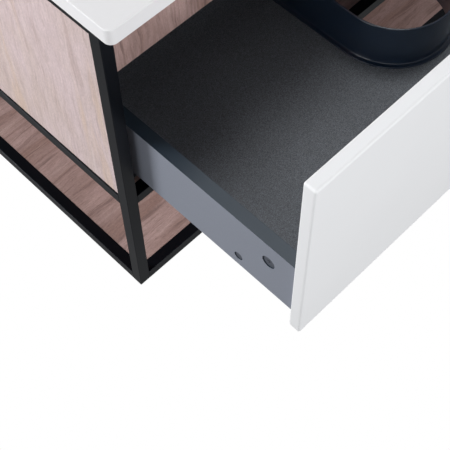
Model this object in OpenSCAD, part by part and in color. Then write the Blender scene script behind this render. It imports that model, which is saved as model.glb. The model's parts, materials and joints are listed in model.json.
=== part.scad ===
// Wall-hung washstand: a vessel basin on a slab, over one drawer in a square-tube frame.
// Design frame: X to the right from the frame's left face, Y from the frame's front
// face to the wall, Z up from the frame's lowest face. place() moves it so that the
// origin lies on the wall, in the middle of the four wall fixings.

/* [Frame] */
// Width of the tube frame, outside to outside
frame_w = 800; // [600:10:1200]
// Depth of the tube frame, front face to wall
frame_d = 450; // [450:5:520]
// Height of the tube frame
frame_h = 515; // [505:5:600]
// Side of the square tube
tube = 16; // [15:0.5:16]
// Wall thickness of the square tube
tube_t = 1.5; // [1:0.5:2]
// Height of the middle rails' underside
mid_z = 193; // [120:1:193]
// Distance of the wall fixings from the frame's sides
fix_x = 80; // [40:5:160]
// Diameter of the wall fixing sleeves' bores
fix_d = 9; // [7:0.5:10]

/* [Boards] */
// Thickness of the side panels, the front stretcher and the rear stretcher
board = 16; // [15:0.5:16]
// How far the side panels sit back from the frame's outer faces
side_recess = 2.3; // [0:0.1:3]
// Thickness of the shelf and of the carcass bottom
shelf_t = 13; // [10:0.5:13]
// Height of the front stretcher behind the drawer front
stretcher_h = 98; // [60:1:120]

/* [Slab] */
// Thickness of the slab
slab_t = 20; // [12:1:40]
// Overhang of the slab over the frame's front
slab_front = 24; // [18:1:40]
// Overhang of the slab over the frame's sides
slab_side = 5; // [0:1:20]
// Plan radius of the slab's front corners
slab_corner = 9; // [5:1:30]
// Diameter of the tap hole
tap_d = 35; // [30:0.5:38]
// Distance of the tap hole's centre from the frame's front
tap_y = 411; // [405:1:412]

/* [Basin] */
// Diameter of the basin's rim
basin_d = 370; // [300:5:370]
// Height of the basin
basin_h = 130; // [90:5:160]
// Distance of the basin's centre from the frame's front
basin_y = 202; // [195:1:205]
// Diameter of the waste hole in basin and slab
waste_hole_d = 46; // [44:1:50]
// How far the waste plug rises
plug_lift = 8; // [5:1:10]

/* [Trap] */
// Outside diameter of the tailpipe and the outlet pipe
pipe_d = 32; // [30:1:34]
// Height of the outlet pipe's axis
outlet_z = 372; // [360:1:380]
// How far the outlet pipe runs on past the wall plane
outlet_past = 35; // [10:1:60]
// Outside diameter of the trap's bottle
bottle_d = 60; // [50:1:64]

/* [Drawer] */
// How far the drawer stands open
drawer_open = 259; // [0:1:380]
// Whole travel of the drawer, shut to fully open
drawer_travel = 380; // [300:5:380]
// Gap between the drawer front and each post
front_gap = 3; // [2:0.5:5]
// Height of the drawer front's lower edge
front_z = 214; // [212:1:215]
// Height of the drawer front
front_h = 287; // [200:1:288]
// Thickness of the drawer front and the drawer sides
drawer_t = 16; // [15:0.5:16]
// Height of the drawer sides' lower edge
box_z = 237; // [237:1:240]
// Height of the drawer sides
box_h = 94; // [70:1:150]
// Length of the drawer sides
box_l = 400; // [380:5:400]
// Distance of the drawer sides' outer faces from the frame's outer faces
box_x = 25; // [24:0.5:27]
// Thickness of the drawer floor
floor_t = 12; // [8:0.5:12]
// Recess under the drawer floor for the slides
floor_up = 12; // [12:0.5:13]

/* [Pipe cover] */
// Outside width of the pipe cover's wall
cover_w = 155; // [120:1:200]
// Height of the pipe cover above the drawer floor
cover_h = 64; // [40:1:70]
// Wall thickness of the pipe cover
cover_t = 3; // [2:0.5:4]
// Width of the flange round the pipe cover's foot
cover_flange = 6; // [4:0.5:10]

/* [Hidden] */
$fn = 64;

e = 0.3;                                // joint gap between boards and steel
W = frame_w;
D = frame_d;
H = frame_h;
fix_top = H - tube / 2;                 // height of the upper wall fixings
fix_low = mid_z + tube / 2;             // height of the lower wall fixings
hang_z = (fix_top + fix_low) / 2;
panel_in = side_recess + board;         // inner face of a side panel
rear_y = D - tube;                      // front face of the rear posts
str_y = tube + 1;                       // front face of the front stretcher
mid_top = mid_z + tube;
tab = [34, 22, 3];                      // support tab: along the rail, across, thickness
tab_hole = 2.4;
slab_z = H;
basin_z = slab_z + slab_t;
bx = W / 2;
floor_z = box_z + floor_up;             // underside of the drawer floor
floor_top = floor_z + floor_t;
box_in = box_x + drawer_t;              // inner face of a drawer side
cover_r = cover_w / 2;
cover_legs = drawer_t + box_l;          // rear end of the cover's legs, drawer shut
open_mid = drawer_open / 2;

// rest position of what stands still, and of what has moved forward by dy
module place(dy = 0) { translate([-W / 2, -D - dy, -hang_z]) children(); }
// the same piece on the right-hand side
module other_side() { translate([W, 0, 0]) mirror([1, 0, 0]) children(); }

// ---------- frame ----------

module tube_z(h) {
    difference() {
        cube([tube, tube, h]);
        translate([tube_t, tube_t, -1]) cube([tube - 2 * tube_t, tube - 2 * tube_t, h + 2]);
    }
}
module tube_x(l) { translate([0, 0, tube]) rotate([0, 90, 0]) tube_z(l); }
module tube_y(l) { translate([0, 0, tube]) rotate([-90, 0, 0]) tube_z(l); }

module post(x, y) { color([0.07, 0.07, 0.075]) place() translate([x, y, 0]) tube_z(H); }
module rail_x(y, z) { color([0.07, 0.07, 0.075]) place() translate([tube, y, z]) tube_x(W - 2 * tube); }
module rail_y(x, z) { color([0.07, 0.07, 0.075]) place() translate([x, tube, z]) tube_y(D - 2 * tube); }
// rear rail with two holes for the wall fixing sleeves
module rail_fixed(z) {
    color([0.07, 0.07, 0.075]) place() difference() {
        translate([tube, rear_y, z]) tube_x(W - 2 * tube);
        for (x = [fix_x, W - fix_x])
            translate([x, rear_y - 1, z + tube / 2]) rotate([-90, 0, 0]) cylinder(r = fix_d / 2 + 1.8, h = tube + 2);
    }
}

module post_front_left() post(0, 0);
module post_front_right() post(W - tube, 0);
module post_rear_left() post(0, rear_y);
module post_rear_right() post(W - tube, rear_y);
module bottom_rail_front() rail_x(0, 0);
module bottom_rail_rear() rail_x(rear_y, 0);
module bottom_rail_left() rail_y(0, 0);
module bottom_rail_right() rail_y(W - tube, 0);
module mid_rail_front() rail_x(0, mid_z);
module mid_rail_rear() rail_fixed(mid_z);
module mid_rail_left() rail_y(0, mid_z);
module mid_rail_right() rail_y(W - tube, mid_z);
module top_rail_rear() rail_fixed(H - tube);
module top_rail_left() rail_y(0, H - tube);
module top_rail_right() rail_y(W - tube, H - tube);

// push-in plugs in the posts' lower ends
module post_plugs() {
    i = tube_t + 0.05;
    color([0.1, 0.1, 0.1]) place() for (x = [0, W - tube], y = [0, rear_y])
        translate([x + i, y + i, 0]) difference() {
            cube([tube - 2 * i, tube - 2 * i, 12]);
            translate([2, 2, 2]) cube([tube - 2 * i - 4, tube - 2 * i - 4, 11]);
        }
}

// steel sleeves welded through the rear rails, one round each wall screw
module wall_sleeves() {
    color([0.55, 0.56, 0.58]) place() for (x = [fix_x, W - fix_x], z = [fix_low, fix_top])
        translate([x, rear_y, z]) rotate([-90, 0, 0]) difference() {
            cylinder(r = fix_d / 2 + 1.75, h = tube);
            translate([0, 0, -1]) cylinder(r = fix_d / 2, h = tube + 2);
        }
}

// where the tabs' screws go, under the shelf and under the carcass bottom
tab_x = [tube + 40, W / 2, W - tube - 40];
module at_tabs() {
    for (z = [0, mid_z], x = tab_x, s = [0, 1])
        translate([x, s == 0 ? tube : rear_y, z]) mirror([0, s, 0]) children();
}
// flat tabs welded to the rails' inner faces, level with their undersides
module support_tabs() {
    color([0.07, 0.07, 0.075]) place() at_tabs() difference() {
        translate([-tab[0] / 2, 0, 0]) cube(tab);
        translate([0, tab[1] / 2 + 2, -1]) cylinder(r = tab_hole, h = tab[2] + 2);
    }
}
module tab_screws() {
    color([0.6, 0.6, 0.62]) place() at_tabs() translate([0, tab[1] / 2 + 2, 0]) {
        translate([0, 0, -2]) difference() {
            cylinder(r = 4.2, h = 1.95);
            translate([-3, -0.5, -1]) cube([6, 1, 1.9]);
            translate([-0.5, -3, -1]) cube([1, 6, 1.9]);
        }
        translate([0, 0, -0.1]) cylinder(r = 1.9, h = tab[2] + 8);
    }
}

// ---------- boards ----------

module side_panel() {
    translate([side_recess, tube + e, mid_top + e]) difference() {
        cube([board, D - 2 * tube - 2 * e, H - tube - mid_top - 2 * e]);
        // pilot holes for the slide screws
        for (y = slide_screw_y)
            translate([board + 1, y - tube - e, slide_screw_z - mid_top - e]) rotate([0, -90, 0]) cylinder(r = 1.9, h = 11.5);
    }
}
module side_panel_left() { color([0.83, 0.78, 0.76]) place() side_panel(); }
module side_panel_right() { color([0.83, 0.78, 0.76]) place() other_side() side_panel(); }

// board lying inside a rectangle of rails, resting on the tabs
module shelf(z) {
    place() difference() {
        translate([tube + e, tube + e, z + tab[2] + 0.05]) cube([W - 2 * tube - 2 * e, D - 2 * tube - 2 * e, shelf_t - 0.05]);
        for (x = tab_x, y = [tube + tab[1] / 2 + 2, rear_y - tab[1] / 2 - 2])
            translate([x, y, z + tab[2] - 1]) cylinder(r = 2, h = 9.5);
    }
}
module bottom_shelf() { color([0.78, 0.70, 0.66]) shelf(0); }
module carcass_bottom() { color([0.78, 0.70, 0.66]) shelf(mid_z); }

module front_stretcher() {
    color([0.74, 0.66, 0.63]) place()
        translate([panel_in + e, str_y, H - stretcher_h]) cube([W - 2 * panel_in - 2 * e, board, stretcher_h - 0.1]);
}
// rear stretcher, notched where the tap's shank comes down
module rear_stretcher() {
    color([0.74, 0.66, 0.63]) place() difference() {
        translate([panel_in + e, rear_y - e - board, H - stretcher_h]) cube([W - 2 * panel_in - 2 * e, board, stretcher_h - 20]);
        translate([bx - 35, rear_y - e - board - 1, H - 70]) cube([70, board + 2, 60]);
    }
}

// angle brackets that hold the slab down, on the side panels' inner faces
module slab_bracket() {
    difference() {
        union() {
            cube([2, 30, 22]);
            translate([0, 0, 20]) cube([24, 30, 2]);
        }
        for (y = [8, 22]) translate([-1, y, 9]) rotate([0, 90, 0]) cylinder(r = 2.2, h = 4);
        for (y = [8, 22]) translate([14, y, 19]) cylinder(r = 2.2, h = 4);
    }
}
module slab_brackets() {
    color([0.62, 0.63, 0.65]) place() for (y = [90, 330]) {
        translate([panel_in, y, H - 22.1]) slab_bracket();
        other_side() translate([panel_in, y, H - 22.1]) slab_bracket();
    }
}

// ---------- slab and basin ----------

module slab_plan() {
    x0 = -slab_side; x1 = W + slab_side; y0 = -slab_front; r = slab_corner;
    difference() {
        translate([x0, y0]) square([x1 - x0, D - y0]);
        translate([x0 - 1, y0 - 1]) square([r + 1, r + 1]);
        translate([x1 - r, y0 - 1]) square([r + 1, r + 1]);
    }
    for (x = [x0 + r, x1 - r]) translate([x, y0 + r]) circle(r = r);
}
module countertop() {
    color([0.93, 0.94, 0.95]) place() translate([0, 0, slab_z]) difference() {
        linear_extrude(slab_t) slab_plan();
        translate([bx, basin_y, -1]) cylinder(d = waste_hole_d + 4, h = slab_t + 2);
        translate([bx, tap_y, -1]) cylinder(d = tap_d, h = slab_t + 2);
    }
}

basin_r = basin_d / 2;
basin_wall = 8;
foot_r = 92;
bowl_n = 18;
bowl_outer = [for (i = [0 : bowl_n]) let (a = 90 * i / bowl_n)
    [foot_r + (basin_r - foot_r) * sin(a), basin_h * (1 - cos(a))]];
bowl_inner = [for (i = [bowl_n : -1 : 0]) let (a = 90 * i / bowl_n)
    [60 + (basin_r - basin_wall - 60) * sin(a), 15 + (basin_h - 15) * (1 - cos(a))]];
module basin() {
    color([0.96, 0.96, 0.96]) place() translate([bx, basin_y, basin_z]) rotate_extrude($fn = 96)
        polygon(concat([[waste_hole_d / 2, 0]], bowl_outer, bowl_inner,
            [[34, 13.5], [33, 10], [waste_hole_d / 2, 10]]));
}

// ---------- waste ----------

module on_waste(z) { place() translate([bx, basin_y, z]) children(); }
module ring(ro, ri, h) { difference() { cylinder(r = ro, h = h); translate([0, 0, -1]) cylinder(r = ri, h = h + 2); } }

waste_r = 20.5;
seat_z = basin_z + 10;
module waste_gasket() { color([0.12, 0.12, 0.12]) on_waste(seat_z) ring(30, waste_r + 0.2, 1.5); }
// flange, threaded body and the guide for the plug's stem, one turned piece
module waste_body() {
    color([0.8, 0.81, 0.83]) on_waste(0) {
        difference() {
            union() {
                translate([0, 0, seat_z + 1.5]) cylinder(r = 31.5, h = 2.5);
                translate([0, 0, slab_z - 55]) cylinder(r = waste_r, h = seat_z + 2 - slab_z + 55);
            }
            translate([0, 0, slab_z - 56]) cylinder(r = 17, h = 100);
        }
        difference() {
            union() {
                translate([0, 0, slab_z - 12]) cylinder(r = 8, h = 18);
                for (a = [0, 90]) rotate([0, 0, a]) translate([-17.5, -1.25, slab_z - 8]) cube([35, 2.5, 10]);
            }
            translate([0, 0, slab_z - 13]) cylinder(r = 5.06, h = 20);
        }
    }
}
module waste_washer() { color([0.12, 0.12, 0.12]) on_waste(slab_z - 3) ring(36, waste_r + 0.2, 2.95); }
module waste_nut() {
    color([0.8, 0.81, 0.83]) on_waste(slab_z - 13) difference() {
        cylinder(r = 30, h = 9.95, $fn = 6);
        translate([0, 0, -1]) cylinder(r = waste_r + 0.1, h = 12);
    }
}
// domed plug on its stem
plug_z = seat_z + 4.4;
module waste_plug() {
    color([0.84, 0.85, 0.87]) on_waste(plug_z) {
        rotate_extrude($fn = 96) polygon(concat([[0, 0], [31, 0], [31.5, 1.2]],
            [for (i = [1 : 8]) let (r = 31.5 * (1 - i / 8)) [r, 1.2 + 3.2 * (1 - pow(r / 31.5, 2))]]));
        translate([0, 0, slab_z - 14 - plug_z]) cylinder(r = 5, h = plug_z - slab_z + 14.5);
    }
}
module plug_seal() { color([0.1, 0.1, 0.1]) on_waste(plug_z - 3) ring(16.6, 5.2, 2.95); }

// ---------- trap ----------

pr = pipe_d / 2;
br = bottle_d / 2;
tail_top = slab_z - 47;
bottle_top = outlet_z + 30;
bottle_low = outlet_z - 92;
module tailpipe_nut() {
    color([0.8, 0.81, 0.83]) on_waste(tail_top - 22) difference() {
        cylinder(r = 25.5, h = 22);
        translate([0, 0, -1]) cylinder(r = pr + 0.2, h = 24);
        translate([0, 0, 11]) cylinder(r = waste_r + 0.1, h = 12);
        for (a = [0 : 30 : 330]) rotate([0, 0, a]) translate([26.6, 0, -1]) cylinder(r = 2.2, h = 24, $fn = 24);
    }
}
module tailpipe() { color([0.8, 0.81, 0.83]) on_waste(bottle_low + 12) ring(pr, pr - 1.5, tail_top - 4 - bottle_low - 12); }
module trap_nut() {
    color([0.8, 0.81, 0.83]) on_waste(bottle_top + 0.05) difference() {
        cylinder(r = 24, h = 16);
        translate([0, 0, -1]) cylinder(r = pr + 0.2, h = 20);
        for (a = [0 : 30 : 330]) rotate([0, 0, a]) translate([25.1, 0, -1]) cylinder(r = 2.2, h = 20, $fn = 24);
    }
}
module trap_body() {
    color([0.8, 0.81, 0.83]) on_waste(0) difference() {
        union() {
            translate([0, 0, bottle_low]) cylinder(r = br, h = bottle_top - bottle_low);
            translate([0, 0, outlet_z]) rotate([-90, 0, 0]) cylinder(r = pr + 4.5, h = br + 20);
        }
        translate([0, 0, bottle_low - 1]) cylinder(r = br - 2.5, h = bottle_top - bottle_low - 2);
        translate([0, 0, bottle_top - 10]) cylinder(r = pr + 0.2, h = 12);
        translate([0, 0, outlet_z]) rotate([-90, 0, 0]) cylinder(r = pr - 2, h = br + 4);
        translate([0, br + 4, outlet_z]) rotate([-90, 0, 0]) cylinder(r = pr + 0.15, h = 40);
    }
}
module trap_cup() {
    color([0.8, 0.81, 0.83]) on_waste(bottle_low - 44) difference() {
        union() {
            translate([0, 0, 6]) cylinder(r = br + 3, h = 52);
            rotate_extrude($fn = 64) polygon(concat([[0, 0], [br - 3, 0]], [for (i = [0 : 6]) [br - 3 + 6 * sin(15 * i), 6 * (1 - cos(15 * i))]], [[br + 3, 7], [0, 7]]));
        }
        translate([0, 0, 3]) cylinder(r = br - 2.5, h = 60);
        translate([0, 0, 43.9]) cylinder(r = br + 0.15, h = 20);
        for (a = [0 : 20 : 340]) rotate([0, 0, a]) translate([br + 4.6, 0, 38]) cylinder(r = 2.4, h = 30, $fn = 24);
    }
}
module along_outlet(y) { place() translate([bx, y, outlet_z]) rotate([-90, 0, 0]) children(); }
module outlet_nut() {
    color([0.8, 0.81, 0.83]) along_outlet(basin_y + br + 9) difference() {
        cylinder(r = 25.5, h = 19);
        translate([0, 0, -1]) cylinder(r = pr + 4.6, h = 12.1);
        translate([0, 0, -1]) cylinder(r = pr + 0.2, h = 30);
        for (a = [0 : 30 : 330]) rotate([0, 0, a]) translate([26.6, 0, -1]) cylinder(r = 2.2, h = 24, $fn = 24);
    }
}
// the pipe runs on into the wall; a scored ring marks the wall plane
module outlet_pipe() {
    l = D - basin_y - br - 5;
    color([0.8, 0.81, 0.83]) along_outlet(basin_y + br + 5) difference() {
        ring(pr, pr - 1.5, l + outlet_past);
        translate([0, 0, l]) ring(pr + 1, pr - 0.3, 1.5);
    }
}
module wall_rosette() {
    color([0.84, 0.85, 0.87]) along_outlet(D - 9) rotate_extrude($fn = 96)
        polygon([[pr + 0.2, 0], [pr + 3, 0], [pr + 9, 3], [pr + 17, 6.5], [pr + 19, 9], [pr + 17, 9], [pr + 15.5, 8], [pr + 8, 4.8], [pr + 2.4, 2], [pr + 0.2, 2]]);
}

// ---------- slides ----------

slide_z = mid_top + 3;                  // underside of the fixed members
slide_l = 400;
slide_y = 20;
slide_screw_y = [50, 180, 340];
slide_screw_z = slide_z + 12;
sx = 44;                                // outer wall of the running channel
sw = 14;                                // width of the running channel
// fixed member: an angle screwed to the side panel, with an open channel on its foot
module slide_fixed() {
    translate([0, slide_y, 0]) difference() {
        union() {
            translate([panel_in, 0, slide_z]) cube([2, slide_l, 23]);
            translate([panel_in, 0, slide_z]) cube([sx + sw - panel_in, slide_l, 2]);
            for (x = [sx, sx + sw - 1.5]) translate([x, 0, slide_z + 1]) cube([1.5, slide_l, 13]);
        }
        for (y = slide_screw_y)
            translate([panel_in - 1, y - slide_y, slide_screw_z]) rotate([0, 90, 0]) cylinder(r = 2.2, h = 4);
    }
}
module slide_fixed_left() { color([0.66, 0.67, 0.69]) place() slide_fixed(); }
module slide_fixed_right() { color([0.66, 0.67, 0.69]) place() other_side() slide_fixed(); }
module slide_screw_row() {
    for (y = slide_screw_y) translate([panel_in + 2.05, y, slide_screw_z]) {
        rotate([0, 90, 0]) difference() {
            cylinder(r = 3.6, h = 2);
            translate([-2.5, -0.5, 1]) cube([5, 1, 2]);
            translate([-0.5, -2.5, 1]) cube([1, 5, 2]);
        }
        translate([-11.9, 0, 0]) rotate([0, 90, 0]) cylinder(r = 1.8, h = 12);
    }
}
module slide_screws() { color([0.7, 0.7, 0.72]) place() { slide_screw_row(); other_side() slide_screw_row(); } }

// middle member: closed box section that runs in both channels
mid_l = 380;
module slide_mid() {
    translate([sx + 2.3, slide_y + 8, slide_z + 2.8]) difference() {
        cube([sw - 4.6, mid_l, floor_z - slide_z - 5.6]);
        translate([1.5, -1, 1.5]) cube([sw - 7.6, mid_l + 2, floor_z - slide_z - 8.6]);
    }
}
module slide_mid_left() { color([0.7, 0.71, 0.73]) place(open_mid) slide_mid(); }
module slide_mid_right() { color([0.7, 0.71, 0.73]) place(open_mid) other_side() slide_mid(); }
// drawer member: an open channel turned down, under the drawer floor
module slide_drawer() {
    translate([0, slide_y, 0]) {
        translate([sx - 2, 0, floor_z - 2.05]) cube([sw + 4, box_l - 6, 2]);
        for (x = [sx, sx + sw - 1.5]) translate([x, 0, floor_z - 15]) cube([1.5, box_l - 6, 14]);
    }
}
module slide_drawer_left() { color([0.7, 0.71, 0.73]) place(drawer_open) slide_drawer(); }
module slide_drawer_right() { color([0.7, 0.71, 0.73]) place(drawer_open) other_side() slide_drawer(); }

// catches under the drawer floor, behind the front, each with a lever squeezed to let go
catch_x = sx + sw + 4;
lever_y = drawer_t + 44;                // pivot of the lever
module catch_body() {
    translate([catch_x, drawer_t + 2, floor_z - 10.2]) difference() {
        cube([34, 52, 10.1]);
        translate([12, 42, -1]) cylinder(r = 2.06, h = 9);
        translate([26, 10, -1]) cylinder(r = 3, h = 12);
        translate([26, 34, -1]) cylinder(r = 3, h = 12);
    }
}
module catch_bodies() { color([0.35, 0.36, 0.38]) place(drawer_open) { catch_body(); other_side() catch_body(); } }
module catch_lever() {
    translate([catch_x + 12, lever_y, floor_z - 14]) {
        difference() {
            translate([-5, -38, 0]) cube([10, 45, 3.4]);
            for (y = [-36 : 4 : -20]) translate([-6, y, -0.6]) cube([12, 1.6, 1.2]);
        }
        cylinder(r = 2, h = 10);
    }
}
module catch_lever_left() { color([0.85, 0.45, 0.12]) place(drawer_open) catch_lever(); }
module catch_lever_right() { color([0.85, 0.45, 0.12]) place(drawer_open) other_side() catch_lever(); }

// ---------- drawer ----------

module drawer_front() {
    color([0.93, 0.94, 0.95]) place(drawer_open)
        translate([tube + front_gap, 0, front_z]) cube([W - 2 * tube - 2 * front_gap, drawer_t, front_h]);
}
cam_y = drawer_t + 39;                  // cam fitting, behind the drawer front
cam_z = box_z + 60.5;
dot_y = [drawer_t + 83, drawer_t + 270, drawer_t + 365];
dot_z = floor_z + floor_t / 2;
module drawer_side() {
    difference() {
        translate([box_x, drawer_t + 0.05, box_z]) cube([drawer_t, box_l, box_h]);
        translate([box_x - 1, cam_y, cam_z]) rotate([0, 90, 0]) cylinder(r = 8.8, h = 13.5);
        translate([box_x + 7, drawer_t - 1, cam_z]) rotate([-90, 0, 0]) cylinder(r = 3.6, h = 36);
        for (y = dot_y) translate([box_x - 1, y, dot_z]) {
            rotate([0, 90, 0]) cylinder(r = 6, h = 6);
            rotate([0, 90, 0]) cylinder(r = 2.6, h = 30);
        }
    }
}
module drawer_side_left() { color([0.42, 0.44, 0.47]) place(drawer_open) drawer_side(); }
module drawer_side_right() { color([0.42, 0.44, 0.47]) place(drawer_open) other_side() drawer_side(); }
// turned cam discs in the sides, with the bolts that reach into the drawer front
module cam_fitting() {
    translate([box_x + 1.2, cam_y, cam_z]) rotate([0, 90, 0]) difference() {
        cylinder(r = 8.7, h = 11.2);
        translate([-3, -0.6, -1]) cube([6, 1.2, 1.8]);
        translate([-0.6, -3, -1]) cube([1.2, 6, 1.8]);
    }
    translate([box_x + 7, drawer_t + 0.2, cam_z]) rotate([-90, 0, 0]) cylinder(r = 3.4, h = cam_y - drawer_t - 9.1);
}
module cam_fittings() { color([0.45, 0.46, 0.49]) place(drawer_open) { cam_fitting(); other_side() cam_fitting(); } }
// screws through the sides into the floor's edges
module floor_fitting() {
    for (y = dot_y) translate([box_x + 1, y, dot_z]) rotate([0, 90, 0]) {
        difference() {
            cylinder(r = 5.8, h = 3.9);
            cylinder(r = 2.2, h = 1.6, center = true, $fn = 6);
        }
        cylinder(r = 2.4, h = drawer_t + 19.2);
    }
}
module floor_fittings() { color([0.45, 0.46, 0.49]) place(drawer_open) { floor_fitting(); other_side() floor_fitting(); } }

// plan of the slot round the pipes: a half round, open to the rear
module slot_plan(r, l) { translate([bx, basin_y]) circle(r = r, $fn = 96); translate([bx - r, basin_y]) square([2 * r, l - basin_y]); }
module drawer_floor() {
    color([0.25, 0.26, 0.27]) place(drawer_open) difference() {
        translate([box_in + 0.1, drawer_t + 0.05, floor_z]) cube([W - 2 * box_in - 0.2, box_l, floor_t]);
        translate([0, 0, floor_z - 1]) linear_extrude(floor_t + 2) slot_plan(cover_r + 0.2, cover_legs + 5);
        for (y = dot_y, x = [box_in, W - box_in - 20]) translate([x - 0.5, y, dot_z]) rotate([0, 90, 0]) cylinder(r = 2.6, h = 21);
    }
}
// rear pieces, one on each side of the slot
module drawer_back() {
    translate([box_in + 0.1, cover_legs - drawer_t, floor_top + 0.1])
        cube([bx - cover_r - cover_flange - 1 - box_in, drawer_t, box_h - floor_up - floor_t - 0.1]);
}
module drawer_backs() { color([0.42, 0.44, 0.47]) place(drawer_open) { drawer_back(); other_side() drawer_back(); } }
// pipe cover: a thin wall round the slot, with a flange on the drawer floor
module pipe_cover() {
    color([0.08, 0.11, 0.16]) place(drawer_open) {
        difference() {
            union() {
                translate([0, 0, floor_z + 1]) linear_extrude(cover_h + floor_t - 1) slot_plan(cover_r, cover_legs);
                translate([0, 0, floor_top + 0.1]) linear_extrude(2) slot_plan(cover_r + cover_flange, cover_legs);
            }
            translate([0, 0, floor_z - 1]) linear_extrude(cover_h + floor_t + 10) slot_plan(cover_r - cover_t, cover_legs + 5);
        }
    }
}

// ---------- assembly ----------

post_front_left();
post_front_right();
post_rear_left();
post_rear_right();
bottom_rail_front();
bottom_rail_rear();
bottom_rail_left();
bottom_rail_right();
mid_rail_front();
mid_rail_rear();
mid_rail_left();
mid_rail_right();
top_rail_rear();
top_rail_left();
top_rail_right();
post_plugs();
wall_sleeves();
support_tabs();
tab_screws();
side_panel_left();
side_panel_right();
bottom_shelf();
carcass_bottom();
front_stretcher();
rear_stretcher();
slab_brackets();
countertop();
basin();
waste_gasket();
waste_body();
waste_washer();
waste_nut();
waste_plug();
plug_seal();
tailpipe_nut();
tailpipe();
trap_nut();
trap_body();
trap_cup();
outlet_nut();
outlet_pipe();
wall_rosette();
slide_fixed_left();
slide_fixed_right();
slide_screws();
slide_mid_left();
slide_mid_right();
slide_drawer_left();
slide_drawer_right();
drawer_front();
drawer_side_left();
drawer_side_right();
drawer_floor();
drawer_backs();
pipe_cover();
cam_fittings();
floor_fittings();
catch_bodies();
catch_lever_left();
catch_lever_right();
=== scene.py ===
import bpy
import bmesh
import json
import math
from mathutils import Matrix, Vector
from mathutils.geometry import tessellate_polygon


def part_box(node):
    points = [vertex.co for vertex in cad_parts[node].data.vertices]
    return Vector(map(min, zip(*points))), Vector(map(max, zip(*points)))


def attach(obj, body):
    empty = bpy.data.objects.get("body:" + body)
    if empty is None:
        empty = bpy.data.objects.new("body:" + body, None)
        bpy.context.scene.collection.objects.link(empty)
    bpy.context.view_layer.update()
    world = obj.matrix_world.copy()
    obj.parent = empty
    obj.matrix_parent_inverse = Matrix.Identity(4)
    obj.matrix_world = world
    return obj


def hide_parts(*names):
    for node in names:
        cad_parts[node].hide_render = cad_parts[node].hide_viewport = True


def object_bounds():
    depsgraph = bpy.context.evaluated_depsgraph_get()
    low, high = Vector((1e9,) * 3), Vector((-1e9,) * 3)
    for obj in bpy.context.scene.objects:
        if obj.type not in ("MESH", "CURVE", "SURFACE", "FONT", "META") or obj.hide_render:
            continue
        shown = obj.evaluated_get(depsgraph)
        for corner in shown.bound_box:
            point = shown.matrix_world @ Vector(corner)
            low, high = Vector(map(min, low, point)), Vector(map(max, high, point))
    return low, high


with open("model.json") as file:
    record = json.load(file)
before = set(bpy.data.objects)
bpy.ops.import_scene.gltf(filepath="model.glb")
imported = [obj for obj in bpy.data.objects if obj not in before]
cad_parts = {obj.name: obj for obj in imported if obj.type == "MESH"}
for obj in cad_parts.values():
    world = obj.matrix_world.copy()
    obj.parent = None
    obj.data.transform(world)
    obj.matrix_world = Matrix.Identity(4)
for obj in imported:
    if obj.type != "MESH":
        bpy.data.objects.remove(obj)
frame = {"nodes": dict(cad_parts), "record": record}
cad_low, cad_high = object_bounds()
nodes = frame["nodes"]
record = frame["record"]
mounts = {m["name"]: m for m in record["mounts"]}
scene = bpy.context.scene


# ------------------------------------------------------------------ materials

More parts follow.
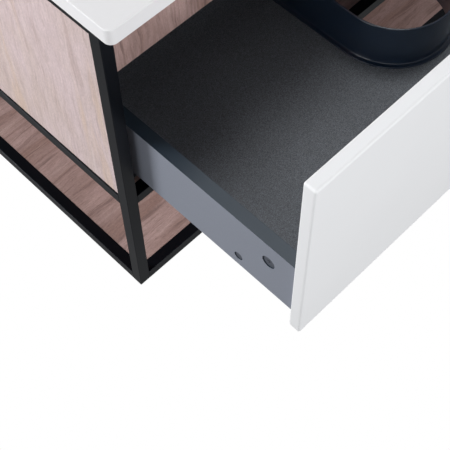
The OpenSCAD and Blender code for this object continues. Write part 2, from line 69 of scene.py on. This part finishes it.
class Paint:
    """A Principled material with helpers for procedural detail in the object's own coordinates, in metres."""

    def __init__(self, name, **sockets):
        self.m = bpy.data.materials.new(name)
        self.m.use_nodes = True
        self.t = self.m.node_tree
        self.t.nodes.clear()
        self.out = self.t.nodes.new("ShaderNodeOutputMaterial")
        self.b = self.t.nodes.new("ShaderNodeBsdfPrincipled")
        self.t.links.new(self.b.outputs["BSDF"], self.out.inputs["Surface"])
        for k, v in sockets.items():
            self.b.inputs[k.replace("_", " ")].default_value = v
        self.coord = self.t.nodes.new("ShaderNodeTexCoord").outputs["Object"]

    def node(self, kind, **props):
        n = self.t.nodes.new(kind)
        for k, v in props.items():
            setattr(n, k, v)
        return n

    def link(self, a, b):
        if isinstance(a, (int, float)):
            b.default_value = a
        elif isinstance(a, (tuple, list)):
            b.default_value = tuple(a) if len(a) != 3 or b.type == "VECTOR" else (*a, 1.0)
        else:
            self.t.links.new(a, b)

    def at(self, scale=(1, 1, 1), loc=(0, 0, 0), rot=(0, 0, 0), source=None):
        n = self.node("ShaderNodeMapping")
        self.link(source or self.coord, n.inputs["Vector"])
        n.inputs["Scale"].default_value = scale
        n.inputs["Location"].default_value = loc
        n.inputs["Rotation"].default_value = rot
        return n.outputs["Vector"]

    def noise(self, vector, scale=1.0, detail=2.0, rough=0.5, bend=0.0, colour=False):
        n = self.node("ShaderNodeTexNoise")
        self.link(vector, n.inputs["Vector"])
        n.inputs["Scale"].default_value = scale
        n.inputs["Detail"].default_value = detail
        n.inputs["Roughness"].default_value = rough
        n.inputs["Distortion"].default_value = bend
        return n.outputs["Color" if colour else "Fac"]

    def voronoi(self, vector, scale=1.0, feature="F1", out="Distance"):
        n = self.node("ShaderNodeTexVoronoi", feature=feature)
        self.link(vector, n.inputs["Vector"])
        n.inputs["Scale"].default_value = scale
        return n.outputs[out]

    def wave(self, vector, scale=1.0, bend=0.0, detail=2.0, detail_scale=1.0, direction="X", profile="SIN"):
        n = self.node("ShaderNodeTexWave", bands_direction=direction, wave_profile=profile)
        self.link(vector, n.inputs["Vector"])
        n.inputs["Scale"].default_value = scale
        n.inputs["Distortion"].default_value = bend
        n.inputs["Detail"].default_value = detail
        n.inputs["Detail Scale"].default_value = detail_scale
        return n.outputs["Fac"]

    def ramp(self, fac, *stops, smooth=False):
        n = self.node("ShaderNodeValToRGB")
        self.link(fac, n.inputs["Fac"])
        if smooth:
            n.color_ramp.interpolation = "EASE"
        e = n.color_ramp.elements
        while len(e) < len(stops):
            e.new(0.5)
        for el, (p, c) in zip(e, stops):
            el.position = p
            el.color = (c, c, c, 1) if isinstance(c, (int, float)) else (*c, 1)
        return n.outputs["Color"]

    def mix(self, fac, a, b, mode="MIX"):
        n = self.node("ShaderNodeMix", data_type="RGBA", blend_type=mode)
        self.link(fac, n.inputs["Factor"])
        self.link(a, n.inputs[6])
        self.link(b, n.inputs[7])
        return n.outputs[2]

    def math(self, op, a, b=None):
        n = self.node("ShaderNodeMath", operation=op)
        self.link(a, n.inputs[0])
        if b is not None:
            self.link(b, n.inputs[1])
        return n.outputs[0]

    def span(self, fac, low, high, from_low=0.0, from_high=1.0):
        n = self.node("ShaderNodeMapRange")
        self.link(fac, n.inputs["Value"])
        n.inputs["From Min"].default_value = from_low
        n.inputs["From Max"].default_value = from_high
        n.inputs["To Min"].default_value = low
        n.inputs["To Max"].default_value = high
        return n.outputs["Result"]

    def bump(self, height, distance, strength=1.0, normal=None):
        n = self.node("ShaderNodeBump")
        self.link(height, n.inputs["Height"])
        n.inputs["Distance"].default_value = distance
        n.inputs["Strength"].default_value = strength
        if normal is not None:
            self.link(normal, n.inputs["Normal"])
        return n.outputs["Normal"]

    def use(self, colour=None, rough=None, normal=None):
        if colour is not None:
            self.link(colour, self.b.inputs["Base Color"])
        if rough is not None:
            self.link(rough, self.b.inputs["Roughness"])
        if normal is not None:
            self.link(normal, self.b.inputs["Normal"])
        return self.m


def srgb(r, g, b):
    """Linear colour from 0-255 display values."""
    return tuple(((c / 255 + 0.055) / 1.055) ** 2.4 if c > 10 else c / 255 / 12.92 for c in (r, g, b))


def powder_black():
    p = Paint("black_steel_coat", Specular_IOR_Level=0.27, Specular_Tint=(0.84, 0.90, 1.0, 1.0))
    cloud = p.noise(p.coord, 14, 3, 0.6)
    grain = p.noise(p.coord, 1500, 2, 0.6)
    peel = p.noise(p.coord, 420, 2, 0.5)
    dust = p.ramp(p.noise(p.coord, 900, 1, 0.5), (0.70, 0.0), (0.78, 1.0))
    c = p.mix(cloud, (0.0010, 0.0014, 0.0028), (0.0020, 0.0026, 0.0046))
    c = p.mix(p.math("MULTIPLY", dust, 0.04), c, (0.04, 0.04, 0.045))
    r = p.span(p.math("ADD", p.math("MULTIPLY", cloud, 0.6), p.math("MULTIPLY", grain, 0.4)), 0.30, 0.46)
    h = p.math("ADD", p.math("MULTIPLY", peel, 0.7), p.math("MULTIPLY", grain, 0.3))
    return p.use(c, r, p.bump(h, 0.00012, 0.35))


def oak(name, grain, across, light, mid, dark, streak, pale, contrast=1.0, seed=0.0):
    """Limed oak board. grain and across are axis numbers: the grain's direction, and the direction across it on the face."""
    p = Paint(name, Specular_IOR_Level=0.35)

    def v(along, over, shift=0.0, source=None):
        s = [over * 0.6] * 3
        s[grain], s[across] = along, over
        return p.at(tuple(s), (shift + seed, shift * 0.7 + seed, shift * 0.3), source=source)

    def times(x, k):
        return p.math("MULTIPLY", x, k)

    # the grain wanders sideways, in long bends and in short ones
    push = p.node("ShaderNodeCombineXYZ")
    bent = p.node("ShaderNodeVectorMath", operation="ADD")
    bend = p.math("ADD", times(p.math("SUBTRACT", p.noise(v(1.6, 6.0, 8.3), 1.0, 2, 0.5), 0.5), 0.026),
                  times(p.math("SUBTRACT", p.noise(v(11.0, 36.0, 4.1), 1.0, 2, 0.6), 0.5), 0.018))
    p.link(bend, push.inputs[across])
    p.link(p.coord, bent.inputs[0])
    p.link(push.outputs[0], bent.inputs[1])
    wavy = bent.outputs[0]
    cloud = p.ramp(p.noise(v(5.5, 13.0, 1.7), 1.0, 4, 0.6, 0.6), (0.34, 0.0), (0.66, 1.0), smooth=True)
    area = p.ramp(p.noise(v(3.0, 10.0, 3.1), 1.0, 2, 0.5), (0.38, 0.25), (0.62, 1.0), smooth=True)
    streaks = p.noise(v(7.0, 95.0, 6.6, wavy), 1.0, 5, 0.62)
    lines = p.noise(v(10.0, 260.0, 2.2, wavy), 1.0, 3, 0.6)
    warm = p.ramp(p.noise(v(2.6, 34.0, 9.4, wavy), 1.0, 3, 0.55), (0.50, 0.0), (0.64, 1.0), smooth=True)
    fibre = p.noise(v(38.0, 520.0, 0.4, wavy), 1.0, 4, 0.7)
    speck = p.noise(v(330.0, 820.0, 2.0), 1.0, 2, 0.7)
    dashes = p.ramp(p.noise(v(55.0, 560.0, 5.0, wavy), 1.0, 2, 0.55), (0.60, 0.0), (0.69, 1.0))
    c = p.mix(cloud, light, mid)
    c = p.mix(times(p.math("MULTIPLY", warm, area), 0.70), c, streak)
    c = p.mix(times(p.ramp(streaks, (0.50, 0.0), (0.72, 1.0), smooth=True), 0.50 * contrast), c, dark)
    c = p.mix(times(p.ramp(streaks, (0.28, 1.0), (0.46, 0.0), smooth=True), 0.45), c, pale)
    c = p.mix(times(p.math("MULTIPLY", p.ramp(lines, (0.56, 0.0), (0.70, 1.0)), area), 0.45 * contrast), c, dark)
    c = p.mix(0.85, c, p.ramp(fibre, (0.28, 1.0 - 0.17 * contrast), (0.55, 1.0), (0.78, 1.0 + 0.12 * contrast)), "MULTIPLY")
    c = p.mix(0.85, c, p.ramp(speck, (0.30, 1.0 - 0.13 * contrast), (0.70, 1.0 + 0.13 * contrast)), "MULTIPLY")
    c = p.mix(times(dashes, 0.34 * contrast), c, dark)
    r = p.span(p.math("ADD", times(fibre, 0.6), times(streaks, 0.4)), 0.46, 0.66)
    h = p.math("SUBTRACT", p.math("ADD", times(fibre, 0.6), times(speck, 0.4)), times(dashes, 0.6))
    return p.use(c, r, p.bump(h, 0.00018, 0.40))


def white_paint(name, low, high, r0, r1, peel_depth, spec=0.5, coat=0.0):
    p = Paint(name, Specular_IOR_Level=spec, Coat_Weight=coat, Coat_Roughness=0.12)
    cloud = p.noise(p.coord, 5.5, 3, 0.55)
    fleck = p.noise(p.coord, 1300, 1, 0.5)
    c = p.mix(cloud, low, high)
    c = p.mix(p.math("MULTIPLY", p.ramp(fleck, (0.66, 0.0), (0.74, 1.0)), 0.10), c, tuple(x * 0.86 for x in low))
    smear = p.noise(p.at((9, 9, 26)), 1.0, 3, 0.6)
    r = p.span(p.math("ADD", p.math("MULTIPLY", smear, 0.75), p.math("MULTIPLY", fleck, 0.25)), r0, r1)
    peel = p.math("ADD", p.math("MULTIPLY", p.noise(p.coord, 330, 2, 0.5), 0.75), p.math("MULTIPLY", p.noise(p.coord, 60, 1, 0.5), 0.25))
    return p.use(c, r, p.bump(peel, peel_depth, 0.25))


def board_grey(name, low, high, band_low, band_high):
    """Foil-faced board: an even grey with a fine embossed texture, and a darker band glued on its narrow edges."""
    p = Paint(name, Specular_IOR_Level=0.5)
    cloud = p.noise(p.coord, 7, 3, 0.6)
    grit = p.noise(p.coord, 2100, 2, 0.7)
    cell = p.noise(p.coord, 850, 1, 0.5)
    facing = p.node("ShaderNodeSeparateXYZ")
    p.link(p.node("ShaderNodeTexCoord").outputs["Normal"], facing.inputs[0])
    band = p.ramp(p.math("ABSOLUTE", facing.outputs["X"]), (0.62, 1.0), (0.74, 0.0))
    c = p.mix(band, p.mix(cloud, low, high), p.mix(cloud, band_low, band_high))
    c = p.mix(0.30, c, p.ramp(grit, (0.30, 0.62), (0.70, 1.30)), "MULTIPLY")
    r = p.span(p.math("ADD", p.math("MULTIPLY", cloud, 0.5), p.math("MULTIPLY", grit, 0.5)), 0.36, 0.54)
    return p.use(c, r, p.bump(p.math("ADD", p.math("MULTIPLY", grit, 0.5), p.math("MULTIPLY", cell, 0.5)), 0.00010, 0.40))


def floor_grey():
    """Drawer floor: dark grey with a sandy speckle of light and dark grains."""
    p = Paint("anthracite_floor_grain", Specular_IOR_Level=0.35)
    cloud = p.noise(p.coord, 6, 3, 0.6)
    sand = p.noise(p.coord, 1050, 3, 0.75)
    fine = p.noise(p.coord, 2600, 1, 0.5)
    light = p.ramp(p.noise(p.coord, 760, 1.5, 0.6), (0.60, 0.0), (0.68, 1.0))
    dark = p.ramp(p.noise(p.at(loc=(0.31, 0.17, 0.05)), 700, 1.5, 0.6), (0.61, 0.0), (0.69, 1.0))
    c = p.mix(cloud, (0.126, 0.139, 0.155), (0.152, 0.167, 0.186))
    c = p.mix(1.0, c, p.ramp(sand, (0.34, 0.45), (0.50, 1.0), (0.68, 1.85)), "MULTIPLY")
    c = p.mix(p.math("MULTIPLY", light, 0.22), c, (0.34, 0.35, 0.36))
    c = p.mix(p.math("MULTIPLY", dark, 0.35), c, (0.035, 0.037, 0.042))
    r = p.span(p.math("ADD", p.math("MULTIPLY", sand, 0.6), p.math("MULTIPLY", fine, 0.4)), 0.50, 0.72)
    return p.use(c, r, p.bump(p.math("ADD", p.math("MULTIPLY", sand, 0.7), p.math("MULTIPLY", fine, 0.3)), 0.00016, 0.45))


def plastic(name, low, high, r0, r1, texture=900, depth=0.00006, spec=0.5, wear=0.10, coat=0.0):
    p = Paint(name, Specular_IOR_Level=spec, Coat_Weight=coat, Coat_Roughness=0.06)
    cloud = p.noise(p.coord, 18, 2, 0.5)
    spark = p.noise(p.coord, texture, 2, 0.6)
    rub = p.ramp(p.noise(p.at((40, 40, 220)), 1.0, 3, 0.7), (0.56, 0.0), (0.70, 1.0))
    c = p.mix(cloud, low, high)
    c = p.mix(p.math("MULTIPLY", rub, wear), c, tuple(min(1.0, x * 1.6 + 0.01) for x in high))
    r = p.span(p.math("ADD", p.math("MULTIPLY", spark, 0.5), p.math("MULTIPLY", cloud, 0.5)), r0, r1)
    return p.use(c, r, p.bump(spark, depth, 0.35))


def metal(name, low, high, r0, r1, brushed=None, spangle=0.0):
    p = Paint(name, Metallic=1.0)
    cloud = p.noise(p.coord, 30, 3, 0.6)
    c = p.mix(cloud, low, high)
    if spangle:
        cells = p.voronoi(p.coord, 260, out="Color")
        c = p.mix(spangle, c, p.ramp(cells, (0.0, 0.80), (1.0, 1.12)), "MULTIPLY")
    s = [420, 420, 420]
    if brushed is not None:
        s = [1900, 1900, 1900]
        s[brushed] = 14
    lines = p.noise(p.at(tuple(s)), 1.0, 2, 0.6)
    smudge = p.noise(p.coord, 24, 3, 0.65)
    r = p.span(p.math("ADD", p.math("MULTIPLY", lines, 0.45), p.math("MULTIPLY", smudge, 0.55)), r0, r1, 0.25, 0.75)
    return p.use(c, r, p.bump(lines, 0.00003, 0.25))


def rubber():
    p = Paint("black_rubber_seal", Specular_IOR_Level=0.4)
    n = p.noise(p.coord, 700, 2, 0.6)
    return p.use(p.mix(n, (0.010, 0.010, 0.011), (0.020, 0.020, 0.021)), p.span(n, 0.62, 0.82), p.bump(n, 0.0001, 0.4))


SIDE_WOOD = dict(light=(0.628, 0.511, 0.519), mid=(0.580, 0.468, 0.441), dark=(0.420, 0.315, 0.296),
                 streak=(0.614, 0.467, 0.378), pale=(0.714, 0.604, 0.588), contrast=1.05)
SHELF_WOOD = dict(light=(0.452, 0.309, 0.288), mid=(0.360, 0.238, 0.215), dark=(0.145, 0.086, 0.073),
                  streak=(0.277, 0.166, 0.138), pale=(0.538, 0.398, 0.367), contrast=1.2)
finish = {
    "black_steel": powder_black(),
    "oak_side": oak("oak_side_grain", 2, 1, **SIDE_WOOD),
    "oak_shelf": oak("oak_shelf_grain", 0, 1, **SHELF_WOOD),
    "oak_rail": oak("oak_rail_grain", 2, 0, seed=2.7, **SHELF_WOOD),
    "white_slab": white_paint("white_slab_finish", (0.768, 0.766, 0.782), (0.796, 0.793, 0.810), 0.48, 0.62, 0.00005, spec=0.20),
    "white_lacquer": white_paint("white_lacquer_finish", (0.812, 0.822, 0.842), (0.842, 0.852, 0.870), 0.38, 0.52, 0.00008, spec=0.28),
    "basin_ceramic": white_paint("basin_glaze", (0.850, 0.852, 0.845), (0.885, 0.886, 0.880), 0.06, 0.14, 0.00004, coat=0.6),
    "anthracite_board": board_grey("anthracite_board_foil", (0.212, 0.231, 0.280), (0.232, 0.251, 0.303), (0.0100, 0.0235, 0.0390), (0.0140, 0.0300, 0.0480)),
    "anthracite_floor": floor_grey(),
    "navy_plastic": plastic("navy_moulding", (0.0060, 0.0165, 0.0370), (0.0080, 0.0200, 0.0440), 0.28, 0.40, 1100, 0.00003, wear=0.0, coat=0.8),
    "grey_plastic": plastic("grey_fitting", (0.060, 0.068, 0.088), (0.076, 0.085, 0.108), 0.34, 0.50),
    "orange_plastic": plastic("orange_lever", (0.72, 0.16, 0.015), (0.80, 0.20, 0.02), 0.34, 0.50),
    "black_plastic": plastic("black_plug", (0.010, 0.010, 0.011), (0.016, 0.016, 0.017), 0.42, 0.60),
    "black_rubber": rubber(),
    "zinc_steel": metal("zinc_plate", (0.50, 0.52, 0.55), (0.62, 0.63, 0.65), 0.24, 0.42, spangle=0.5),
    "slide_steel": metal("slide_steel_rolled", (0.48, 0.49, 0.51), (0.58, 0.59, 0.61), 0.26, 0.42, brushed=1),
    "chrome": metal("chrome_plate", (0.80, 0.81, 0.83), (0.86, 0.87, 0.88), 0.04, 0.11),
}
slot_of = {s["node"]: s["material_slot"] for s in record["subparts"]}


# ------------------------------------------------------------------ CAD nodes: material, soft edges

EASE = {  # width of the eased edges in metres, and its segments
    "black_steel": (0.0011, 3), "oak_side": (0.0005, 2), "oak_shelf": (0.0006, 2), "white_lacquer": (0.0020, 5),
    "anthracite_board": (0.0007, 3), "anthracite_floor": (0.0003, 2), "navy_plastic": (0.0009, 3),
    "grey_plastic": (0.00025, 2), "orange_plastic": (0.0003, 2), "black_plastic": (0.0003, 2),
    "black_rubber": (0.0003, 2), "zinc_steel": (0.0002, 2), "slide_steel": (0.0003, 2), "chrome": (0.0005, 2),
}
NARROW = {"cam_fittings": 0.0003, "floor_fittings": 0.0002, "tab_screws": 0.00015, "slide_screws": 0.00015,
          "wall_rosette": 0.0004, "support_tabs": 0.0004, "post_plugs": 0.0002, "slab_brackets": 0.0003}


def soften(o, width, segments):
    """Joins the split faces, and rounds the sharp edges a little, without touching the CAD mesh itself."""
    mesh = o.data
    if "custom_normal" in mesh.attributes:
        mesh.attributes.remove(mesh.attributes["custom_normal"])
    if "sharp_edge" in mesh.attributes:
        mesh.attributes.remove(mesh.attributes["sharp_edge"])
    for f in mesh.polygons:
        f.use_smooth = True
    weld = o.modifiers.new("Join", "WELD")
    weld.merge_threshold = 0.000002
    flat = o.modifiers.new("Flat faces", "DECIMATE")
    flat.decimate_type = "DISSOLVE"
    flat.angle_limit = math.radians(0.5)
    bevel = o.modifiers.new("Eased edges", "BEVEL")
    bevel.width = width
    bevel.segments = segments
    bevel.limit_method = "ANGLE"
    bevel.angle_limit = math.radians(28)
    bevel.harden_normals = True
    bevel.miter_outer = "MITER_ARC"
    bevel.use_clamp_overlap = True


for name, o in nodes.items():
    key = slot_of[name]
    look = finish["oak_rail"] if name in ("front_stretcher", "rear_stretcher") else finish[key]
    o.data.materials.clear()
    o.data.materials.append(look)
    width, segments = EASE.get(key, (0.0005, 2))
    soften(o, NARROW.get(name, width), segments)


# ------------------------------------------------------------------ new pieces

def piece(name, verts, faces, slot, body, look=None, smooth=True, sharp=32):
    mesh = bpy.data.meshes.new(name)
    mesh.from_pydata([tuple(v) for v in verts], [], faces)
    mesh.validate()
    bm = bmesh.new()
    bm.from_mesh(mesh)
    bmesh.ops.recalc_face_normals(bm, faces=bm.faces)
    if smooth:
        for f in bm.faces:
            f.smooth = True
        for e in bm.edges:
            if len(e.link_faces) == 2 and e.calc_face_angle(0.0) > math.radians(sharp):
                e.smooth = False
    bm.to_mesh(mesh)
    bm.free()
    o = bpy.data.objects.new(name, mesh)
    scene.collection.objects.link(o)
    mesh.materials.append(look or finish[slot])
    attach(o, body)
    return o


ROOT = next(b for b, names in record["behaviour"]["bodies"].items() if "countertop" in names)


def slab():
    """The slab with its rounded front corners and its softly rounded upper edge, with the tap hole and the waste hole."""
    lo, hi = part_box("countertop")
    tap = mounts["tap_hole"]
    basin_lo, basin_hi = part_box("basin")
    bx, by = (basin_lo.x + basin_hi.x) / 2, (basin_lo.y + basin_hi.y) / 2
    corner, soft = 0.009, 0.0011
    verts, faces = [], []

    def outline(inset, z):
        """Front corners round, rear corners square; counter-clockwise from the rear left."""
        r = max(corner - inset, 0.0005)
        x0, x1, y0, y1 = lo.x + inset, hi.x - inset, lo.y + inset, hi.y - min(inset, 0.0006)
        pts = [(x0, y1)]
        for i in range(13):
            a = math.pi + math.pi / 2 * i / 12
            pts.append((x0 + r + r * math.cos(a), y0 + r + r * math.sin(a)))
        for i in range(13):
            a = 1.5 * math.pi + math.pi / 2 * i / 12
            pts.append((x1 - r + r * math.cos(a), y0 + r + r * math.sin(a)))
        pts.append((x1, y1))
        start = len(verts)
        verts.extend((x, y, z) for x, y in pts)
        return list(range(start, start + len(pts)))

    def circle(x, y, r, z, n=72):
        start = len(verts)
        verts.extend((x + r * math.cos(2 * math.pi * i / n), y + r * math.sin(2 * math.pi * i / n), z) for i in range(n))
        return list(range(start, start + n))

    def skin(loops):
        for a, b in zip(loops, loops[1:]):
            for i in range(len(a)):
                j = (i + 1) % len(a)
                faces.append((a[i], a[j], b[j], b[i]))

    ease = 0.0008
    loops = [outline(ease, lo.z), outline(ease * 0.3, lo.z + ease * 0.3), outline(0, lo.z + ease)]
    for i in range(9):
        a = math.pi / 2 * i / 8
        loops.append(outline(soft * (1 - math.cos(a)), hi.z - soft + soft * math.sin(a)))
    skin(loops)
    holes = []
    for x, y, r in ((tap["pos_m"][0], tap["pos_m"][1], tap["dims"]["r_mm"] / 1000), (bx, by, 0.0235)):
        e = 0.0010
        rows = [circle(x, y, r + e, hi.z), circle(x, y, r + e * 0.3, hi.z - e * 0.3), circle(x, y, r, hi.z - e),
                circle(x, y, r, lo.z + e), circle(x, y, r + e * 0.3, lo.z + e * 0.3), circle(x, y, r + e, lo.z)]
        skin(rows)
        holes.append(rows)
    for outer, row in ((loops[-1], 0), (loops[0], -1)):
        rings = [outer] + [h[row] for h in holes]
        flat = [i for ring in rings for i in ring]
        for tri in tessellate_polygon([[Vector((verts[i][0], verts[i][1], 0)) for i in ring] for ring in rings]):
            faces.append(tuple(flat[i] for i in tri))
    o = piece("slab_top", verts, faces, "white_slab", ROOT, sharp=24)
    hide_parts("countertop")
    return o


def lathe(name, centre, profile, slot, body, n=160, closed=True):
    """A turned piece from a profile of (radius, height) points."""
    verts, faces = [], []
    k = len(profile)
    for i in range(n):
        a = 2 * math.pi * i / n
        verts.extend((centre[0] + r * math.cos(a), centre[1] + r * math.sin(a), centre[2] + z) for r, z in profile)
    for i in range(n):
        j = (i + 1) % n
        for s in range(k if closed else k - 1):
            t = (s + 1) % k
            faces.append((i * k + s, j * k + s, j * k + t, i * k + t))
    return piece(name, verts, faces, slot, body, sharp=38)


def vessel():
    """The basin: a thin bowl with a rolled rim, standing on a recessed foot."""
    lo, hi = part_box("basin")
    waste_lo, waste_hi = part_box("waste_gasket")
    cx, cy = (lo.x + hi.x) / 2, (lo.y + hi.y) / 2
    radius, height = (hi.x - lo.x) / 2, hi.z - lo.z
    seat = waste_lo.z - lo.z
    foot, wall, inner = 0.092, 0.008, 0.060
    profile = [(0.0225, 0.0), (foot - 0.006, 0.0), (foot - 0.0052, 0.0006), (foot - 0.005, 0.0022)]
    steps = 40
    out = []
    for i in range(steps + 1):
        a = math.pi / 2 * i / steps
        out.append((foot + (radius - foot) * math.sin(a), height * (1 - math.cos(a))))
    profile += [(foot - 0.0042, 0.0030), (foot + 0.004, 0.0030)]
    profile += [q for q in out if q[1] > 0.0042 and q[1] < height - 0.0045]
    mid = radius - wall / 2
    for i in range(13):
        a = math.pi * i / 12
        profile.append((mid + wall / 2 * math.cos(a), height - wall / 2 + wall / 2 * math.sin(a)))
    for i in range(steps, -1, -1):
        a = math.pi / 2 * i / steps
        q = (inner + (radius - wall - inner) * math.sin(a), 0.015 + (height - 0.015) * (1 - math.cos(a)))
        if q[1] < height - 0.0048:
            profile.append(q)
    profile += [(0.046, 0.0143), (0.0350, 0.0137), (0.0338, 0.0128), (0.0333, 0.0112), (0.0326, seat), (0.0225, seat)]
    o = lathe("vessel_basin", (cx, cy, lo.z), profile, "basin_ceramic", ROOT)
    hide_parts("basin")
    return o


def cover():
    """The pipe cover: a thin wall bent to a U, with a rounded rim, and a flange that runs into it with a fillet."""
    lo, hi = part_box("pipe_cover")
    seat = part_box("drawer_floor")[1].z + 0.0001
    flange, wall, plate, fillet = 0.006, 0.003, 0.0020, 0.0022
    outer = (hi.x - lo.x) / 2 - flange
    cx, cy = (lo.x + hi.x) / 2, lo.y + outer + flange
    top, edge = hi.z - wall / 2, outer + flange
    profile = [(outer - wall, lo.z), (outer, lo.z), (outer, seat), (edge - 0.0004, seat), (edge, seat + 0.0004)]
    for i in range(6):
        a = math.pi / 2 * i / 5
        profile.append((edge - 0.0010 + 0.0010 * math.cos(a), seat + plate - 0.0010 + 0.0010 * math.sin(a)))
    for i in range(7):
        a = math.pi / 2 * i / 6
        profile.append((outer + fillet - fillet * math.sin(a), seat + plate + fillet - fillet * math.cos(a)))
    for i in range(13):
        a = math.pi * i / 12
        profile.append((outer - wall / 2 + wall / 2 * math.cos(a), top + wall / 2 * math.sin(a)))
    path = [((-1.0, 0.0), hi.y)]
    for i in range(97):
        a = math.pi + math.pi * i / 96
        path.append(((math.cos(a), math.sin(a)), cy))
    path.append(((1.0, 0.0), hi.y))
    verts, faces, k = [], [], len(profile)
    for (nx, ny), y in path:
        verts.extend((cx + nx * r, y + ny * r, z) for r, z in profile)
    for i in range(len(path) - 1):
        for s in range(k):
            t = (s + 1) % k
            faces.append((i * k + s, (i + 1) * k + s, (i + 1) * k + t, i * k + t))
    flat = [Vector((r, z, 0)) for r, z in profile]
    for start in (0, (len(path) - 1) * k):
        faces.extend(tuple(start + i for i in tri) for tri in tessellate_polygon([flat]))
    o = piece("cover_wall", verts, faces, "navy_plastic", "drawer", sharp=34)
    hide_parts("pipe_cover")
    return o


def even(o):
    """Keeps the broad flat faces flat in shading."""
    m = o.modifiers.new("Even shading", "WEIGHTED_NORMAL")
    m.keep_sharp = True


def front():
    """The drawer front: a board with all its edges and corners rounded over under the lacquer."""
    lo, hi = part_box("drawer_front")
    centre, size = (lo + hi) / 2, hi - lo
    bm = bmesh.new()
    bmesh.ops.create_cube(bm, size=1.0)
    for v in bm.verts:
        v.co = centre + Vector(c * d for c, d in zip(v.co, size))
    bmesh.ops.bevel(bm, geom=bm.edges[:], offset=0.003, offset_type="OFFSET", segments=7, profile=0.5, affect="EDGES")
    bm.verts.index_update()
    verts = [v.co.copy() for v in bm.verts]
    faces = [tuple(v.index for v in f.verts) for f in bm.faces]
    bm.free()
    o = piece("front_board", verts, faces, "white_lacquer", "drawer", sharp=60)
    even(o)
    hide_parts("drawer_front")
    return o


even(slab())
vessel()
cover()
front()


# ------------------------------------------------------------------ stage, light, camera

def stage_floor():
    z = cad_low.z - 0.315
    mesh = bpy.data.meshes.new("floor")
    bm = bmesh.new()
    bmesh.ops.create_circle(bm, cap_ends=True, segments=96, radius=9.0, matrix=Matrix.Translation((0, 0, z)))
    bm.to_mesh(mesh)
    bm.free()
    o = bpy.data.objects.new("floor", mesh)
    scene.collection.objects.link(o)
    m = bpy.data.materials.new("floor_white")
    m.use_nodes = True
    t = m.node_tree
    t.nodes.clear()
    out = t.nodes.new("ShaderNodeOutputMaterial")
    soft = t.nodes.new("ShaderNodeEmission")
    soft.inputs["Color"].default_value = (1, 1, 1, 1)
    soft.inputs["Strength"].default_value = 0.29
    glow = t.nodes.new("ShaderNodeEmission")
    glow.inputs["Color"].default_value = (1, 1, 1, 1)
    glow.inputs["Strength"].default_value = 1.0
    clear = t.nodes.new("ShaderNodeBsdfTransparent")
    path = t.nodes.new("ShaderNodeLightPath")
    side = t.nodes.new("ShaderNodeNewGeometry")
    mix = t.nodes.new("ShaderNodeMixShader")
    both = t.nodes.new("ShaderNodeMixShader")
    t.links.new(path.outputs["Is Camera Ray"], mix.inputs[0])
    t.links.new(soft.outputs[0], mix.inputs[1])
    t.links.new(glow.outputs[0], mix.inputs[2])
    t.links.new(side.outputs["Backfacing"], both.inputs[0])
    t.links.new(mix.outputs[0], both.inputs[1])
    t.links.new(clear.outputs[0], both.inputs[2])
    t.links.new(both.outputs[0], out.inputs["Surface"])
    mesh.materials.append(m)


def sky(strength, colour):
    w = bpy.data.worlds.new("studio")
    scene.world = w
    w.use_nodes = True
    t = w.node_tree
    t.nodes.clear()
    out = t.nodes.new("ShaderNodeOutputWorld")
    dim = t.nodes.new("ShaderNodeBackground")
    dim.inputs["Color"].default_value = (*colour, 1)
    dim.inputs["Strength"].default_value = strength
    white = t.nodes.new("ShaderNodeBackground")
    white.inputs["Color"].default_value = (1, 1, 1, 1)
    white.inputs["Strength"].default_value = 1.0
    path = t.nodes.new("ShaderNodeLightPath")
    mix = t.nodes.new("ShaderNodeMixShader")
    t.links.new(path.outputs["Is Camera Ray"], mix.inputs[0])
    t.links.new(dim.outputs[0], mix.inputs[1])
    t.links.new(white.outputs[0], mix.inputs[2])
    t.links.new(mix.outputs[0], out.inputs["Surface"])


def softbox(name, place, aim, size, power, colour=(1, 1, 1)):
    d = bpy.data.lights.new(name, "AREA")
    d.shape = "RECTANGLE"
    d.size, d.size_y = size
    d.energy = power
    d.color = colour
    o = bpy.data.objects.new(name, d)
    scene.collection.objects.link(o)
    o.location = place
    o.rotation_mode = "QUATERNION"
    o.rotation_quaternion = (Vector(aim) - Vector(place)).to_track_quat("-Z", "Y")
    return o


AIM = (-0.15, -0.45, 0.0)


def around(azimuth, elevation, distance=3.0):
    """A point round the object. Azimuth 0 is in front, 90 to the right, 180 behind."""
    a, e = math.radians(azimuth), math.radians(elevation)
    return tuple(c + distance * d for c, d in zip(AIM, (math.sin(a) * math.cos(e), -math.cos(a) * math.cos(e), math.sin(e))))


stage_floor()
sky(0.02, (1.0, 1.0, 1.0))
softbox("box_behind_left", around(-135, 20), AIM, (0.9, 0.9), 85)
softbox("box_left", around(-90, 20), AIM, (1.6, 1.6), 21)
softbox("box_front", around(0, 20), AIM, (1.6, 1.6), 72)
softbox("box_right", around(90, 20), AIM, (1.6, 1.6), 12)
softbox("box_behind_right", around(135, 20), AIM, (1.6, 1.6), 5)
softbox("box_high", around(120, 70), AIM, (1.0, 1.0), 29)

cam = bpy.data.cameras.new("camera")
cam.sensor_width = 36
cam.lens = 1033.374 * 36 / 450
cam.clip_start, cam.clip_end = 0.05, 40
camera = bpy.data.objects.new("camera", cam)
scene.collection.objects.link(camera)
right = (0.7073284, -0.7068185, -0.0096997)
down = (-0.6129640, -0.6064562, -0.5064445)
ahead = (0.3520819, 0.3641682, -0.8622180)
camera.matrix_world = Matrix((
    (right[0], -down[0], -ahead[0], -0.76394),
    (right[1], -down[1], -ahead[1], -0.99201),
    (right[2], -down[2], -ahead[2], 0.89622),
    (0, 0, 0, 1)))
scene.camera = camera
scene.view_settings.view_transform = "Standard"
scene.view_settings.look = "None"
scene.view_settings.exposure = 0.0
scene.view_settings.gamma = 1.0

bpy.context.view_layer.update()
